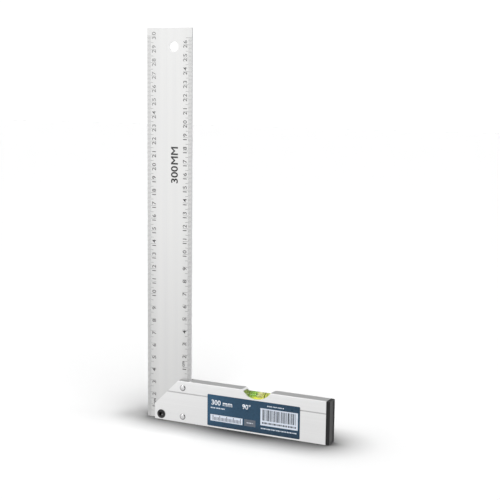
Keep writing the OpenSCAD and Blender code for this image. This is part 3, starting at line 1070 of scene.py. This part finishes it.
def printed_vinyl(name, low, high, drawn=False):
    """Semi-gloss ink on vinyl, with a faint orange-peel relief."""
    finish, tree, shader = new_finish(name, high, VINYL_ROUGHNESS, Specular_IOR_Level=0.3)
    spread = (VINYL_ROUGHNESS - 0.05, VINYL_ROUGHNESS + 0.08)
    follow(tree, shader, grain(tree, 1.6 * MM), (low, high), spread, depth=0.004 * MM)
    if drawn:
        # The ground is lighter at the left and darker to the right, and has a painted shade along its lower
        # edge
        left, foot = label_low.x, label_low.z
        darken(tree, shader, fade(tree, "X", left, left + 30 * MM, 1.14, 0.82))
        darken(tree, shader, fade(tree, "X", left + 44 * MM, left + 70 * MM, 1.0, 0.82))
        darken(tree, shader, fade(tree, "Z", foot, foot + 8 * MM, 0.7, 1.0))
    return finish


navy = printed_vinyl("navy_vinyl", "#234259", "#284962", drawn=True)
pale_ink = printed_vinyl("pale_ink", "#c3cad6", "#ccd3dd")
white_ink = printed_vinyl("white_ink", "#e0e4ea", "#e8ebf0")
grey_ink = printed_vinyl("grey_ink", "#555c66", "#5c626b")
dark_ink = printed_vinyl("dark_ink", "#3a3f47", "#43484f")
refinish("label", navy)
print("made", navy.name, pale_ink.name, white_ink.name, grey_ink.name, dark_ink.name)

# %% Print the label
INK_T = 0.015 * MM
PALE_PANEL = (2.7, 30.4, 4.2, 9.3)
GREY_FIELD = (31.8, 41.4, 4.0, 9.3)
BAR_PANEL = (45.5, 76.4, 6.5, 19.9)


def field(name, left, right, bottom, top, layer=0):
    """A printed field, placed in mm from the label's lower left corner, on a layer of ink."""
    x, z = label_low.x, label_low.z
    on_y = label_low.y - layer * INK_T
    return film(name, x + left * MM, x + right * MM, z + bottom * MM, z + top * MM, on_y, INK_T)


pale = [field("pale", *PALE_PANEL), field("pale", *BAR_PANEL)]
grey = field("label_grey_field", *GREY_FIELD)
dress(grey, grey_ink, BODY)
print("panels", PALE_PANEL[:2], BAR_PANEL[:2])

# %% [markdown]
# The wide panel holds a row of upright bars. Their widths follow a short rhythm that encodes nothing. The
# narrow one holds a small ruler. Lines of fine print are drawn as rows of short dashes, since print of
# that size can't be read anyway.
# %% Bars, ruler and dashes
BAR_WIDTHS = (0.45, 0.9, 0.35, 0.5, 1.1, 0.4, 0.7)
BAR_GAPS = (0.35, 0.5, 0.9, 0.4, 0.6)
DASH_WIDTHS = (1.1, 0.8, 1.4, 0.6, 1.0)
DASH_GAPS = (0.35, 0.3, 0.7)
RULER_MARKS = 21
RULER_STEP = 1.18
RULER_MARK_W = 0.55
RULER_LONG, RULER_SHORT = 3.9, 2.6


def row_of_bars(left, right, bottom, height, layer, widths=BAR_WIDTHS, gaps=BAR_GAPS):
    """Upright bars from left to right, in a rhythm of widths and gaps in mm."""
    row = []
    turn = 0
    while left + widths[turn % len(widths)] <= right:
        width = widths[turn % len(widths)]
        row.append(field("bar", left, left + width, bottom, bottom + height, layer))
        left += width + gaps[turn % len(gaps)]
        turn += 1
    return row


def dashes(left, right, bottom, height, layer):
    """A line of fine print, as dashes of uneven length."""
    return row_of_bars(left, right, bottom, height, layer, DASH_WIDTHS, DASH_GAPS)


panel_left, panel_right, panel_foot, panel_top = BAR_PANEL
bars_foot, bars_top = panel_foot + 3.9, panel_top - 0.9
dark = row_of_bars(panel_left + 1.6, panel_right - 1.6, bars_foot, bars_top - bars_foot, 1)
dark += dashes(panel_left + 1.4, panel_right - 1.4, panel_foot + 1.3, 1.4, 1)
ruler_left, ruler_foot = PALE_PANEL[0] + 2, PALE_PANEL[2] + 0.7
for step in range(RULER_MARKS):
    left = ruler_left + step * RULER_STEP
    height = RULER_LONG if step % 5 == 0 else RULER_SHORT
    dark.append(field("bar", left, left + RULER_MARK_W, ruler_foot, ruler_foot + height, 1))
dark_print = join(dark, "label_dark_print")
dress(dark_print, dark_ink, BODY)
print("dark print:", len(dark), "marks")

# %% [markdown]
# On the navy ground stand the size of the square in large pale characters, a line of fine print under it,
# and one line above and one below the bars.
# %% Size and fine print
WORD_H = 4.0 * MM
WORD_UP = 19.0 * MM
WORDS = (("300 mm", 12.5 * MM), ("90\u00b0", 33.5 * MM))
# Of each line: left, right, bottom and height in mm from the label's corner, and its layer of ink
FINE_PRINT = (
    (2.9, 15.5, 14.2, 0.9, 0),
    (51.0, 66.0, 21.6, 0.8, 0),
    (46.0, 76.0, 3.6, 0.9, 0),
    (34.0, 39.5, 6.4, 0.6, 1),
)

across = Matrix(((1, 0, 0, 0), (0, 0, -1, 0), (0, 1, 0, 0), (0, 0, 0, 1)))
words = []
for text, along in WORDS:
    typed = type_word(text, WORD_H, boldness=0.01)
    words.append(stamp(typed, label_low.x + along, label_low.y, label_low.z + WORD_UP, across))
    bpy.data.objects.remove(typed)
pale_words = settle(words, "label_size_words")
dress(pale_words, white_ink, BODY)
for line in FINE_PRINT:
    pale += dashes(*line)
pale_print = join(pale, "label_pale_print")
dress(pale_print, pale_ink, BODY)
print("pale print:", len(pale), "fields")

# %% [markdown]
# ## View
# The picture is taken with Blender's Standard view, so that colours come out as written.
# %% View
bpy.context.scene.view_settings.view_transform = "Standard"
